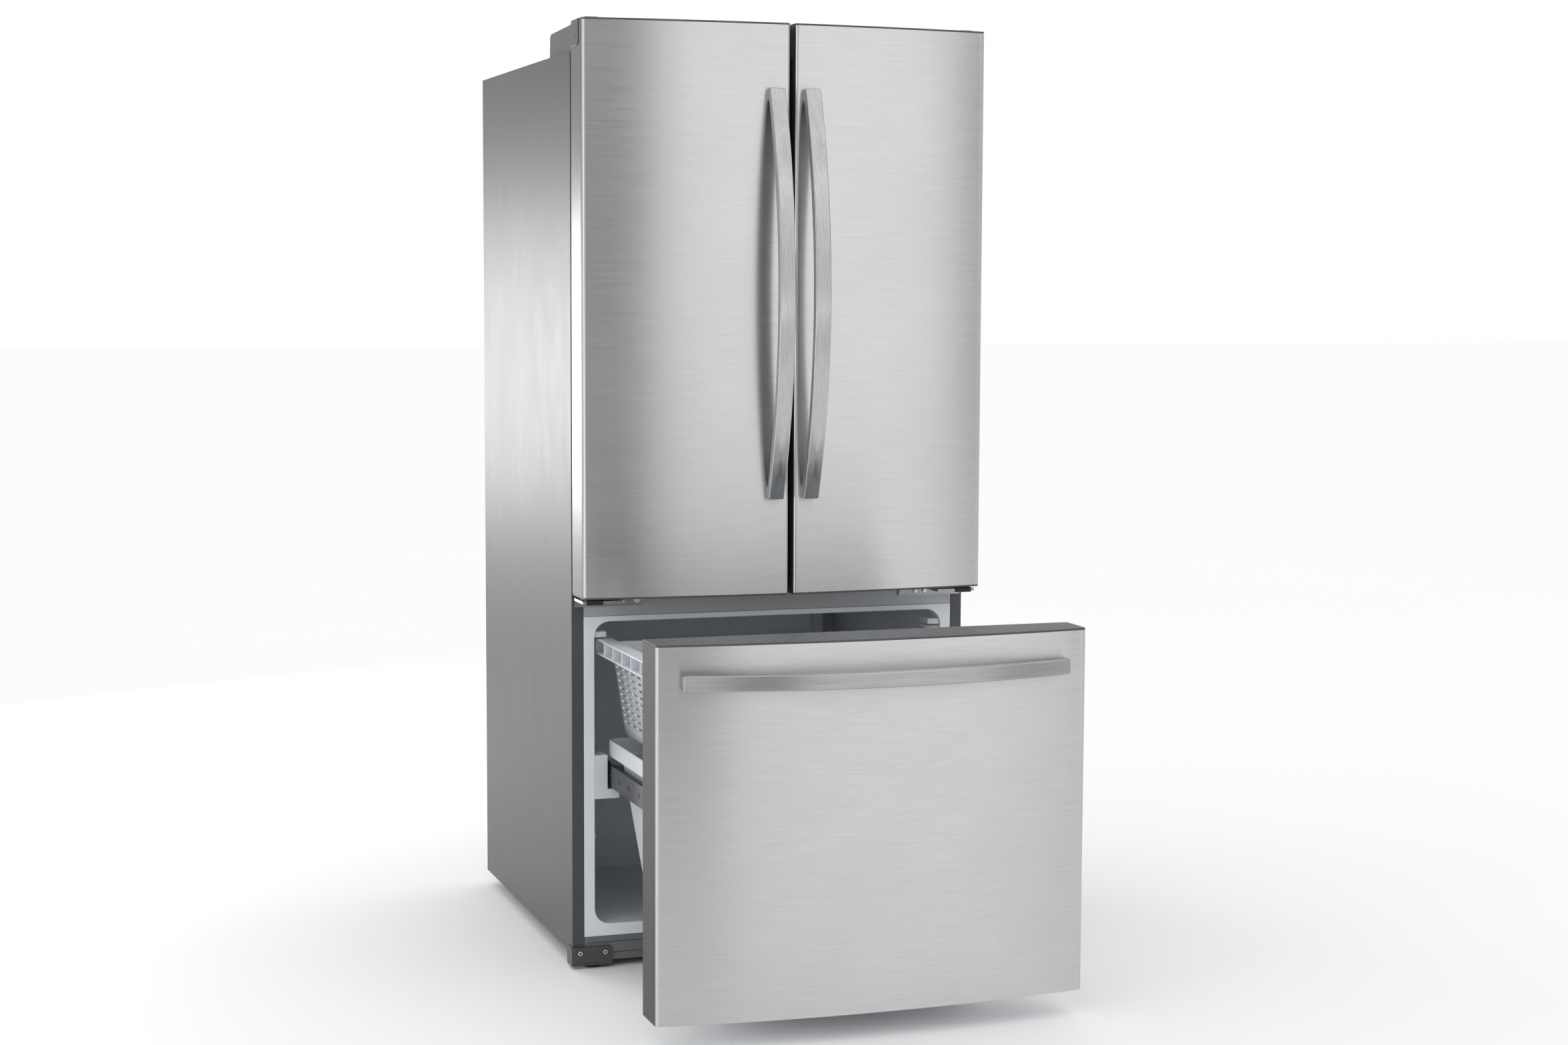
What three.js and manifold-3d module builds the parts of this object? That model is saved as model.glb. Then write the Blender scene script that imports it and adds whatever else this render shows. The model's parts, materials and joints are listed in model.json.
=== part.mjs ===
// A 30-inch french door refrigerator with a bottom freezer drawer, stored with the drawer part way out.
// Millimetres, +Z up. Everything is laid out in the cabinet's own frame: X = 0 midway across, Y = 0 on the
// front face of the case with -Y towards the user, Z = 0 on the floor. The finished group is then moved along
// Y so that its origin lies under the middle of the whole object.
import * as THREE from "three";
import { mergeVertices } from "three/addons/utils/BufferGeometryUtils.js";
import Module from "manifold-3d";

const wasm = await Module();
wasm.setup();

// ---- Driving dimensions -------------------------------------------------------------------------------
const GAP = 0.3; // between pieces that touch
const CASE = { half: 378, depth: 730, bottom: 28, top: 1652, sheet: 2.5 };
const FLANGE = 22; // width of the case's front return
const FACE = 3; // thickness of the parts that make up the front face
const OPENING_HALF = 336;
const LINER = 3; // wall of both inner liners
const FRESH = { frameLow: 706, frameHigh: 1638, low: 726, high: 1606, back: 640 };
const FREEZER = { frameLow: 58, frameHigh: 646, low: 80, high: 636, back: 600, humpFront: 452, humpTop: 244 };
const LINER_CORNER = 28;
const SHELVES = [832, 976, 1180, 1390]; // undersides of the crispers, their cover and the two glass shelves

const DOOR = { low: 687, high: 1704, back: -8, edge: -86, bow: 27, inner: 4.5, skin: 2, corner: 6 };
const CAP = 3; // visible lip of the door's end caps
const PLUG = 18; // depth of the end caps inside the skin
const HINGE = { x: 356, y: -45, pin: 5, hole: 6.5 };
const DIKE = { inset: 54, wall: 12, depth: 36 };

const DRAWER = { low: 44, high: 668, open: 467 }; // open: how far the freezer drawer stands out as stored
const RAIL = { inner: 296, outer: 312, low: 330, high: 378, length: 465, front: 4 };

const HANDLE = { thick: 15, foot: 22 };
const DOOR_HANDLE = { x: 33, width: 29, low: 861, high: 1589, front: -190 };
const DRAWER_HANDLE = { half: 339, low: 594, high: 620, front: -161 };

const LIGHT_GREY = "#a9abae";
const DARK_GREY = "#4b4d50";
const STEEL = "#b9bbbe";
const WHITE = "#dfe4ea";
const BLACK = "#17181a";

// ---- Solids -------------------------------------------------------------------------------------------
function solid(geometry) {
  const bare = geometry.clone();
  bare.deleteAttribute("normal");
  bare.deleteAttribute("uv");
  const merged = mergeVertices(bare, 1e-4);
  return new wasm.Manifold(
    new wasm.Mesh({
      numProp: 3,
      vertProperties: new Float32Array(merged.attributes.position.array),
      triVerts: new Uint32Array(merged.index.array),
    }),
  );
}

function geometryOf(manifold) {
  const mesh = manifold.getMesh();
  const geometry = new THREE.BufferGeometry();
  geometry.setAttribute("position", new THREE.BufferAttribute(mesh.vertProperties, 3));
  geometry.setIndex(new THREE.BufferAttribute(mesh.triVerts, 1));
  geometry.computeVertexNormals();
  return geometry;
}

const cut = (body, ...tools) => tools.reduce((made, tool) => made.subtract(tool), body);
const join = (body, ...others) => others.reduce((made, other) => made.add(other), body);

function box(x0, x1, y0, y1, z0, z1) {
  const geometry = new THREE.BoxGeometry(x1 - x0, y1 - y0, z1 - z0);
  return solid(geometry.translate((x0 + x1) / 2, (y0 + y1) / 2, (z0 + z1) / 2));
}

function extrude(points, depth) {
  const shape = new THREE.Shape(points.map(([x, y]) => new THREE.Vector2(x, y)));
  return new THREE.ExtrudeGeometry(shape, { depth, bevelEnabled: false });
}

// Prisms: an outline in the plane across the named axis, run from one value of that axis to another.
const prismZ = (points, z0, z1) => solid(extrude(points, z1 - z0).translate(0, 0, z0));
const prismY = (points, y0, y1) => solid(extrude(points, y1 - y0).rotateX(Math.PI / 2).translate(0, y1, 0));

function prismX(points, x0, x1) {
  const turn = new THREE.Matrix4().makeBasis(
    new THREE.Vector3(0, 1, 0),
    new THREE.Vector3(0, 0, 1),
    new THREE.Vector3(1, 0, 0),
  );
  return solid(extrude(points, x1 - x0).applyMatrix4(turn).translate(x0, 0, 0));
}

function roundedRect(x0, x1, y0, y1, r, segments = 5) {
  const centres = [
    [x1 - r, y0 + r, -Math.PI / 2],
    [x1 - r, y1 - r, 0],
    [x0 + r, y1 - r, Math.PI / 2],
    [x0 + r, y0 + r, Math.PI],
  ];
  return centres.flatMap(([cx, cy, start]) =>
    Array.from({ length: segments + 1 }, (_, i) => {
      const a = start + (i / segments) * (Math.PI / 2);
      return [cx + r * Math.cos(a), cy + r * Math.sin(a)];
    }),
  );
}

function cylinderZ(x, y, r, z0, z1, segments = 20) {
  const geometry = new THREE.CylinderGeometry(r, r, z1 - z0, segments).rotateX(Math.PI / 2);
  return solid(geometry.translate(x, y, (z0 + z1) / 2));
}

// A tub with sloping walls: an outline at the top and one at the bottom, with the same number of points.
function loft(lower, zLow, upper, zHigh) {
  const n = lower.length;
  const position = [...lower.map(([x, y]) => [x, y, zLow]), ...upper.map(([x, y]) => [x, y, zHigh])];
  const index = [];
  for (let i = 0; i < n; i++) {
    const j = (i + 1) % n;
    index.push(i, j, n + j, i, n + j, n + i);
  }
  for (let i = 1; i < n - 1; i++) {
    index.push(0, i + 1, i, n, n + i, n + i + 1);
  }
  const geometry = new THREE.BufferGeometry();
  geometry.setAttribute("position", new THREE.Float32BufferAttribute(position.flat(), 3));
  geometry.setIndex(index);
  return solid(geometry);
}

const cabinet = new THREE.Group();

function add(name, body, colour, roughness = 0.5, metalness = 0, group = cabinet) {
  const material = new THREE.MeshStandardMaterial({ color: colour, roughness, metalness });
  const mesh = new THREE.Mesh(geometryOf(body), material);
  mesh.name = name;
  group.add(mesh);
}

const SIDES = [
  ["left", -1],
  ["right", 1],
];

// An interval given on the right-hand side, placed on either side of X = 0.
const across = (side, near, far) => (side > 0 ? [near, far] : [-far, -near]);

// ---- Case ---------------------------------------------------------------------------------------------
const { half, depth, sheet } = CASE;

function cylinderX(x0, x1, r, y, z, segments = 24) {
  const geometry = new THREE.CylinderGeometry(r, r, x1 - x0, segments).rotateZ(Math.PI / 2);
  return solid(geometry.translate((x0 + x1) / 2, y, z));
}

// Each rear roller turns on its own axle between two plates that hang from the base pan.
const ROLLER = { x: 300, y: 690, r: 18, axle: 4, bore: 4.4, clear: 11.5, plate: 3 };

function rollerForks() {
  const { x, y, clear, plate } = ROLLER;
  return SIDES.flatMap(([, side]) =>
    [-1, 1].map((end) => {
      const near = side * x + end * clear;
      const far = near + end * plate;
      return box(Math.min(near, far), Math.max(near, far), 600, y + 12, 10, CASE.bottom + 3);
    }),
  );
}

function rollerBores() {
  const { x, y, r, bore } = ROLLER;
  return SIDES.map(([, side]) => cylinderX(side * x - 30, side * x + 30, bore, y, r));
}

function makeCase() {
  const outer = box(-half, half, FACE + GAP, depth - 3, CASE.bottom, CASE.top);
  const inside = box(-half + sheet, half - sheet, 0, depth, CASE.bottom - 1, CASE.top - sheet);
  add("cabinet_shell", cut(outer, inside), LIGHT_GREY, 0.45, 0.6);

  const panel = box(-half + 4, half - 4, depth - 3 + GAP, depth, CASE.bottom + 4, CASE.top - 4);
  const vents = Array.from({ length: 6 }, (_, i) =>
    box(-250, 120, depth - 10, depth + 10, 70 + i * 26, 78 + i * 26),
  );
  add("rear_panel", cut(panel, ...vents), LIGHT_GREY, 0.6, 0.5);

  const pan = box(-half + sheet + GAP, half - sheet - GAP, FACE + GAP, 655, CASE.bottom, CASE.bottom + 3);
  add("base_pan", cut(join(pan, ...rollerForks()), ...rollerBores()), DARK_GREY, 0.6, 0.5);

  const flange = cut(
    box(-half, half, 0, FACE, 13, CASE.top),
    box(-half + FLANGE, half - FLANGE, -1, FACE + 1, 12, FRESH.frameHigh),
  );
  add("front_flange", flange, DARK_GREY, 0.45, 0.5);

  const faceHalf = half - FLANGE - GAP;
  add("center_rail", box(-faceHalf, faceHalf, 0, FACE, 646 + GAP, 706 - GAP), LIGHT_GREY, 0.45, 0.6);
  add("kick_plate", box(-faceHalf, faceHalf, 0, FACE, 13, 58 - GAP), DARK_GREY, 0.5, 0.3);
}

// A liner: a rounded tub lying on its side, open at the front, with a flat frame around its mouth.
function linerTub({ frameLow, frameHigh, low, high, back }) {
  const r = LINER_CORNER;
  const faceHalf = half - FLANGE - GAP;
  const tub = prismY(
    roundedRect(-OPENING_HALF - LINER, OPENING_HALF + LINER, low - LINER, high + LINER, r + LINER),
    FACE - 0.5,
    back + LINER,
  );
  const frame = box(-faceHalf, faceHalf, 0, FACE, frameLow, frameHigh - GAP);
  const hollow = prismY(roundedRect(-OPENING_HALF, OPENING_HALF, low, high, r), -1, back);
  return { shell: join(tub, frame), hollow };
}

function makeLiners() {
  const fresh = linerTub(FRESH);
  const ledges = SHELVES.flatMap((z) =>
    SIDES.map(([, side]) => {
      const [x0, x1] = across(side, OPENING_HALF - 10, OPENING_HALF + 1);
      return box(x0, x1, 145, 606, z - 8, z - GAP);
    }),
  );
  add("fresh_food_liner", join(cut(fresh.shell, fresh.hollow), ...ledges), WHITE, 0.35);

  // The machine compartment takes a step out of the freezer's lower back corner.
  const { back, humpFront, humpTop } = FREEZER;
  const freezer = linerTub(FREEZER);
  const machine = box(-400, 400, humpFront + LINER, back + 50, 0, humpTop - LINER);
  const hump = box(-400, 400, humpFront, back + 50, 0, humpTop);
  add("freezer_liner", cut(freezer.shell, cut(freezer.hollow, hump), machine), WHITE, 0.35);

  const cover = box(-300, 300, 560, 563, 262, 620);
  const ports = [-180, 0, 180].map((x) => box(x - 60, x + 60, 550, 570, 540, 556));
  add("evaporator_cover", cut(cover, ...ports), WHITE, 0.4);
}

// ---- Fresh food compartment ---------------------------------------------------------------------------
function openBox(x0, x1, y0, y1, z0, z1, wall) {
  return cut(box(x0, x1, y0, y1, z0, z1), box(x0 + wall, x1 - wall, y0 + wall, y1 - wall, z0 + wall, z1 + 1));
}

function makeShelves() {
  const reach = OPENING_HALF - GAP;
  const shelf = (z) =>
    join(box(-reach, reach, 140, 606, z, z + 5), box(-reach, reach, 128, 141, z - 6, z + 8));
  const [crisperBase, coverHeight, lower, upper] = SHELVES;
  add("upper_glass_shelf", shelf(upper), "#cfe0df", 0.1);
  add("lower_glass_shelf", shelf(lower), "#cfe0df", 0.1);
  // A web under the crisper cover carries the inner edges of both crispers.
  // The liner's ledges carry the outer ones.
  const web = box(-2, 2, 150, 600, crisperBase - 6, coverHeight + 1);
  const sill = box(-14, 14, 150, 600, crisperBase - 6, crisperBase - GAP);
  add("crisper_cover_shelf", join(shelf(coverHeight), web, sill), "#cfe0df", 0.1);
  for (const [name, side] of SIDES) {
    const [x0, x1] = across(side, 4, 330);
    add(`${name}_crisper`, openBox(x0, x1, 150, 600, crisperBase, 962, 3), "#d8e2ea", 0.2);
  }
  add("pantry_drawer", openBox(-307, 307, 150, 600, FRESH.low + GAP, 822, 3), "#d8e2ea", 0.2);
}

// ---- Doors --------------------------------------------------------------------------------------------
// The three fronts are cut from one bowed face, so its depth depends only on the distance from the middle.
const faceY = (x) => DOOR.edge - DOOR.bow * (1 - (x / half) ** 2);

// Plan outline of a front between x0 and x1, pulled in by inset, with rounded front corners.
function frontOutline(x0, x1, inset, backY) {
  const low = x0 + inset;
  const high = x1 - inset;
  const r = DOOR.corner - inset;
  const points = [[low, backY]];
  const arcs = 4;
  for (let i = 0; i <= arcs; i++) {
    const a = Math.PI + (i / arcs) * (Math.PI / 2);
    points.push([low + r + r * Math.cos(a), faceY(low + r) + inset + r + r * Math.sin(a)]);
  }
  const steps = x1 - x0 > half ? 20 : 10;
  for (let i = 1; i < steps; i++) {
    const x = low + r + ((high - low - 2 * r) * i) / steps;
    points.push([x, faceY(x) + inset]);
  }
  for (let i = 0; i <= arcs; i++) {
    const a = -Math.PI / 2 + (i / arcs) * (Math.PI / 2);
    points.push([high - r + r * Math.cos(a), faceY(high - r) + inset + r + r * Math.sin(a)]);
  }
  points.push([high, backY]);
  return points;
}

function frontSkin(x0, x1, low, high) {
  const skin = prismZ(frontOutline(x0, x1, 0, DOOR.back), low + CAP + GAP, high - CAP - GAP);
  return cut(skin, prismZ(frontOutline(x0, x1, DOOR.skin, DOOR.back + 10), low - 10, high + 10));
}

function endCap(x0, x1, lipLow, lipHigh, plugLow, plugHigh) {
  const lip = prismZ(frontOutline(x0, x1, 0.5, DOOR.back), lipLow, lipHigh);
  return join(lip, prismZ(frontOutline(x0, x1, DOOR.skin + GAP, DOOR.back), plugLow, plugHigh));
}

const topCap = (x0, x1, high) => endCap(x0, x1, high - CAP, high, high - CAP - PLUG, high - CAP + 0.5);
const bottomCap = (x0, x1, low) => endCap(x0, x1, low, low + CAP, low + CAP - 0.5, low + CAP + PLUG);

function frontLiner(x0, x1, low, high, dikeLow, dikeHigh, dikeInset, dikeDepth) {
  const inset = DOOR.skin + GAP;
  const plate = box(x0 + inset, x1 - inset, DOOR.back - 5, DOOR.back, low, high);
  const dike = box(x0 + dikeInset, x1 - dikeInset, DOOR.back - 1, dikeDepth, dikeLow, dikeHigh);
  const well = box(
    x0 + dikeInset + DIKE.wall,
    x1 - dikeInset - DIKE.wall,
    DOOR.back,
    dikeDepth + 1,
    dikeLow + DIKE.wall,
    dikeHigh - DIKE.wall,
  );
  return join(plate, cut(dike, well));
}

function gasket(x0, x1, low, high, width = 12) {
  return cut(
    box(x0, x1, DOOR.back + GAP, -0.5, low, high),
    box(x0 + width, x1 - width, DOOR.back - 1, 1, low + width, high - width),
  );
}

// A bowed strap between two feet, as an outline: along is measured from the middle, out is towards the user.
function strapOutline(reach, base, front) {
  const rise = base - HANDLE.thick - front;
  const radius = (reach * reach + rise * rise) / (2 * rise);
  const arc = (r, at) => front + radius - Math.sqrt(r * r - at * at);
  const steps = 20;
  const outer = [];
  const inner = [];
  const innerReach = reach - HANDLE.foot;
  for (let i = 0; i <= steps; i++) {
    const share = -1 + (2 * i) / steps;
    outer.push([share * reach, arc(radius, share * reach)]);
    inner.push([share * innerReach, arc(radius - HANDLE.thick, share * innerReach)]);
  }
  inner.reverse();
  return [...outer, [reach, base], [innerReach, base], ...inner, [-innerReach, base], [-reach, base]];
}

function makeDoor(name, side) {
  const [x0, x1] = across(side, DOOR.inner, half);
  const { low, high } = DOOR;
  add(`${name}_door_skin`, frontSkin(x0, x1, low, high), STEEL, 0.3, 1);

  const pinHole = cylinderZ(side * HINGE.x, HINGE.y, HINGE.hole, high - 16, high + 5);
  add(`${name}_door_top_cap`, cut(topCap(x0, x1, high), pinHole), DARK_GREY);
  const lowerHole = cylinderZ(side * HINGE.x, HINGE.y, HINGE.hole, low - 5, low + 16);
  add(`${name}_door_bottom_cap`, cut(bottomCap(x0, x1, low), lowerHole), DARK_GREY);

  const plateLow = low + CAP + PLUG + GAP;
  const plateHigh = high - CAP - PLUG - GAP;
  const liner = frontLiner(x0, x1, plateLow, plateHigh, 745, 1588, DIKE.inset, DIKE.depth);
  add(`${name}_door_liner`, liner, WHITE, 0.35);
  const [g0, g1] = across(side, DOOR.inner + 8, HINGE.x);
  add(`${name}_door_gasket`, gasket(g0, g1, 712, 1622), DARK_GREY, 0.7);

  const wellGap = DIKE.inset + DIKE.wall + 0.5;
  [
    ["lower", 1010],
    ["upper", 1310],
  ].forEach(([level, z]) => {
    const bin = openBox(x0 + wellGap, x1 - wellGap, DOOR.back + 0.5, 90, z, z + 90, 3);
    add(`${name}_door_${level}_bin`, bin, "#d8e2ea", 0.2);
  });

  // The strap's outline is drawn with its length along Z and then laid against the door.
  const { x, width, front } = DOOR_HANDLE;
  const reach = (DOOR_HANDLE.high - DOOR_HANDLE.low) / 2;
  const middle = (DOOR_HANDLE.high + DOOR_HANDLE.low) / 2;
  const base = faceY(0) - GAP;
  const outline = strapOutline(reach, base, front).map(([along, y]) => [y, along + middle]);
  const strap = prismX(outline.reverse(), side * x - width / 2, side * x + width / 2);
  add(`${name}_door_handle`, strap, STEEL, 0.25, 1);
}

// The flap that seals the gap between the doors, folded back beside the left door's inner edge.
const MULLION = { x0: -34, x1: -16, y0: 4, y1: 60.5, low: 748, high: 1584 };

function makeDoorFlap() {
  const { x0, x1, y0, y1, low, high } = MULLION;
  add("folding_mullion", prismZ(roundedRect(x0, x1, y0, y1, 2, 2), low, high), LIGHT_GREY, 0.5);
}

// ---- Hinges -------------------------------------------------------------------------------------------
function makeHinges() {
  for (const [name, side] of SIDES) {
    const [a0, a1] = across(side, HINGE.x - 14, HINGE.x + 8);
    const armLow = DOOR.high + 1;
    const arm = box(a0, a1, HINGE.y - 14, 20, armLow, armLow + 3);
    const riser = box(a0, a1, 8, 20, CASE.top + GAP, armLow + 1);
    const foot = box(a0, a1, 8, 150, CASE.top + GAP, CASE.top + 4);
    const pin = cylinderZ(side * HINGE.x, HINGE.y, HINGE.pin, DOOR.high - 13, armLow + 1);
    add(`${name}_top_hinge`, join(arm, riser, foot, pin), "#8d8f92", 0.4, 0.9);

    const [c0, c1] = across(side, HINGE.x - 58, HINGE.x + 12);
    const shape = [
      [2, CASE.top + GAP],
      [190, CASE.top + GAP],
      [187, 1692],
      [180, 1697],
      [40, 1701],
      [2, 1701],
    ];
    const [i0, i1] = across(side, HINGE.x - 56, HINGE.x + 10);
    const inner = [
      [-1, CASE.top - 2],
      [186, CASE.top - 2],
      [184, 1690],
      [178, 1694],
      [40, 1698],
      [-1, 1698],
    ];
    const slot = box(a0 - 0.5, a1 + 0.5, -5, 24, 1690, 1712);
    add(`${name}_top_hinge_cover`, cut(prismX(shape, c0, c1), prismX(inner, i0, i1), slot), "#8a8d90", 0.5);

    const [m0, m1] = across(side, 250, HINGE.x + 17);
    const [t0, t1] = across(side, 302, HINGE.x + 19);
    const leaf = box(m0, m1, -4, -GAP, 664, 684);
    const table = box(t0, t1, -70, -3, 677, 682);
    const lowerPin = cylinderZ(side * HINGE.x, HINGE.y, HINGE.pin, 681, DOOR.low + 12);
    add(`${name}_middle_hinge`, join(leaf, table, lowerPin), "#8d8f92", 0.4, 0.9);
  }
}

// ---- Feet, rollers and machine ------------------------------------------------------------------------
function makeBase() {
  for (const [name, side] of SIDES) {
    const [b0, b1] = across(side, 305, 381);
    const [s0, s1] = across(side, half + GAP, 381);
    const plate = prismY(roundedRect(b0, b1, 6, 40, 5, 3), -6, -GAP);
    const bracket = join(plate, prismX(roundedRect(-6, 30, 6, 40, 5, 3), s0, s1));
    add(`${name}_leg_bracket`, bracket, DARK_GREY, 0.5, 0.4);

    const pad = cylinderZ(side * 337, 24, 19, 0, 9, 24);
    const foot = join(pad, cylinderZ(side * 337, 24, 6, 8, CASE.bottom - GAP, 12));
    add(`${name}_leveling_foot`, foot, BLACK, 0.8);

    const { x, y, r, axle } = ROLLER;
    const wheel = cylinderX(side * x - 10, side * x + 10, r, y, r);
    const pin = cylinderX(side * x - 17, side * x + 17, axle, y, r);
    add(`${name}_rear_roller`, join(wheel, pin), BLACK, 0.7);
  }
  const floor = CASE.bottom + 3 + GAP;
  const profile = [
    [0, 0],
    [78, 0],
    [84, 12],
    [84, 86],
    [76, 122],
    [52, 142],
    [18, 150],
    [0, 150],
  ].map(([r, z]) => new THREE.Vector2(r, z));
  const dome = new THREE.LatheGeometry(profile, 24).rotateX(Math.PI / 2).translate(-170, 560, floor);
  add("compressor", solid(dome), BLACK, 0.5);
}

// ---- Freezer drawer -----------------------------------------------------------------------------------
const drawer = new THREE.Group();
const middleRails = new THREE.Group();
drawer.position.y = -DRAWER.open;
middleRails.position.y = -DRAWER.open / 2;
cabinet.add(drawer, middleRails);

function makeSlides() {
  const { inner, outer, low, high, length, front } = RAIL;
  const back = front + length;
  for (const [name, side] of SIDES) {
    // Bracket on the liner wall, with a pocket for the rails and a lip in front of it, below them.
    const [p0, p1] = across(side, outer + GAP, OPENING_HALF - GAP);
    const [q0, q1] = across(side, inner - 6, OPENING_HALF - GAP);
    const bracket = join(box(p0, p1, -2, 430, 312, 392), box(q0, q1, -2, 28, 312, low - 0.5));
    add(`${name}_slide_bracket`, bracket, WHITE, 0.4);

    // Three nested channels: the outer one is fixed, the middle one goes half way, the inner one all the way.
    const [o0, o1] = across(side, outer - 3, outer);
    const [l0, l1] = across(side, outer - 8, outer);
    const fixed = join(
      box(o0, o1, front, back, low, high),
      box(l0, l1, front, back, low, low + 3),
      box(l0, l1, front, back, high - 3, high),
    );
    add(`${name}_slide_outer_rail`, fixed, "#55585c", 0.35, 0.9);
    const [k0, k1] = across(side, outer - 9, outer - 3 - GAP);
    const middleRail = box(k0, k1, front, back, low + 4, high - 4);
    add(`${name}_slide_middle_rail`, middleRail, "#6b6e72", 0.35, 0.9, middleRails);
    const [n0, n1] = across(side, inner, outer - 9 - GAP);
    const innerRail = box(n0, n1, DOOR.back + GAP, back - 2, low + 6, high - 6);
    add(`${name}_slide_inner_rail`, innerRail, "#6b6e72", 0.35, 0.9, drawer);
  }
}

function makeDrawerFront() {
  const { low, high } = DRAWER;
  add("freezer_front_skin", frontSkin(-half, half, low - CAP - GAP, high), STEEL, 0.3, 1, drawer);
  add("freezer_front_top_cap", topCap(-half, half, high), DARK_GREY, 0.5, 0, drawer);
  const plate = frontLiner(-half, half, low + 1, high - CAP - PLUG - GAP, 96, 300, 60, 12);
  const floor = prismZ(frontOutline(-half, half, DOOR.skin + GAP, DOOR.back), low + 1, low + 4);
  add("freezer_front_liner", join(plate, floor), WHITE, 0.35, 0, drawer);
  add("freezer_front_gasket", gasket(-HINGE.x, HINGE.x, 66, 652), DARK_GREY, 0.7, 0, drawer);

  const base = faceY(DRAWER_HANDLE.half - HANDLE.foot) - GAP;
  const outline = strapOutline(DRAWER_HANDLE.half, base - 6, DRAWER_HANDLE.front);
  const bowed = prismZ(outline, DRAWER_HANDLE.low, DRAWER_HANDLE.high);
  const face = prismZ(frontOutline(-half, half, -GAP, 50), 500, 700);
  const feet = SIDES.map(([, side]) => {
    const [f0, f1] = across(side, DRAWER_HANDLE.half - HANDLE.foot, DRAWER_HANDLE.half);
    return box(f0, f1, base - 10, base + 20, DRAWER_HANDLE.low, DRAWER_HANDLE.high);
  });
  add("freezer_handle", cut(join(bowed, ...feet), face), STEEL, 0.25, 1, drawer);
}

// The deep bin that rides on the rails: a rim over them, and sloping walls that clear the machine hump.
function makeBin() {
  const rimHalf = 305;
  const wall = 3;
  const at = (x, y0, y1, inset) => roundedRect(-x + inset, x - inset, y0 + inset, y1 - inset, 22 - inset, 4);
  const outer = loft(at(264, 20, 355, 0), 96, at(292, 16, 459, 0), 389);
  const inner = loft(at(264, 20, 355, wall), 96 + wall, at(292, 16, 459, wall), 389.5);
  const rim = prismZ(roundedRect(-rimHalf, rimHalf, 12, 492, 12, 3), 388, 417);
  const mouth = prismZ(roundedRect(-288, 288, 20, 455, 20, 4), 380, 420);
  const step = prismZ(roundedRect(-rimHalf + wall, rimHalf - wall, 12 + wall, 492 - wall, 10, 3), 391, 420);
  add("freezer_bin", cut(join(outer, rim), inner, mouth, step), WHITE, 0.4, 0, drawer);
}

// The upper basket slides on ledges of the liner and is drawn out along with the drawer.
const basket = new THREE.Group();
basket.position.y = -DRAWER.open;
cabinet.add(basket);

function makeBasket() {
  const wall = 3;
  const at = (x, y0, y1, inset) => roundedRect(-x + inset, x - inset, y0 + inset, y1 - inset, 24 - inset, 4);
  const outer = loft(at(282, 30, 448, 0), 433, at(302, 14, 460, 0), 578);
  const inner = loft(at(282, 30, 448, wall), 433 + wall, at(302, 14, 460, wall), 578.5);
  const rim = prismZ(roundedRect(-328, 328, 8, 494, 8, 2), 576, 604);
  const mouth = prismZ(roundedRect(-298, 298, 18, 456, 20, 4), 570, 610);
  add("freezer_basket", cut(join(outer, rim), inner, mouth), WHITE, 0.4, 0, basket);
}

// ---- Assembly -----------------------------------------------------------------------------------------
makeCase();
makeLiners();
makeShelves();
for (const [name, side] of SIDES) makeDoor(name, side);
makeDoorFlap();
makeHinges();
makeBase();
makeSlides();
makeDrawerFront();
makeBin();
makeBasket();

const backmost = depth;
const foremost = DRAWER_HANDLE.front - DRAWER.open;
const root = new THREE.Group();
cabinet.position.y = -(backmost + foremost) / 2;
root.add(cabinet);

export default root;
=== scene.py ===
"""Looks for the french door refrigerator: materials, fine pieces, studio and camera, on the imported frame."""

import json
import math

import bmesh
import bpy
from mathutils import Matrix, Vector

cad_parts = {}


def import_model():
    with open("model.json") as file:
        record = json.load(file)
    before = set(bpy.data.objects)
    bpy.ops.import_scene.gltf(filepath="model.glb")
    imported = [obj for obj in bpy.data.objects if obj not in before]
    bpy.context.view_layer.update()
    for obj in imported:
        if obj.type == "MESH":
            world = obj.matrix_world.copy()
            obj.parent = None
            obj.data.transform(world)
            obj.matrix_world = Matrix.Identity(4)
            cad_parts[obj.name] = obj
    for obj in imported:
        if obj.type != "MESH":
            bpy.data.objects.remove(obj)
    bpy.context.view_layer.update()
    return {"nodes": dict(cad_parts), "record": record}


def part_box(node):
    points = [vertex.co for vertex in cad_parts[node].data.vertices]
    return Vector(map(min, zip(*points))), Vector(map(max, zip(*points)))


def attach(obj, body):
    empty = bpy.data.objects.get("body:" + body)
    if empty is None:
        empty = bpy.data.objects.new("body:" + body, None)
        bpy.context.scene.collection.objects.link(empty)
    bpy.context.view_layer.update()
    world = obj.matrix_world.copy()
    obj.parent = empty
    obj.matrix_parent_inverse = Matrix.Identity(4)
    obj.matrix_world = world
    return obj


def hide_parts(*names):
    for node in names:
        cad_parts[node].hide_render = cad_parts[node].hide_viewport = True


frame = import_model()
scene = bpy.context.scene
MM = 0.001
SIDES = (("left", -1), ("right", 1))


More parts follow.
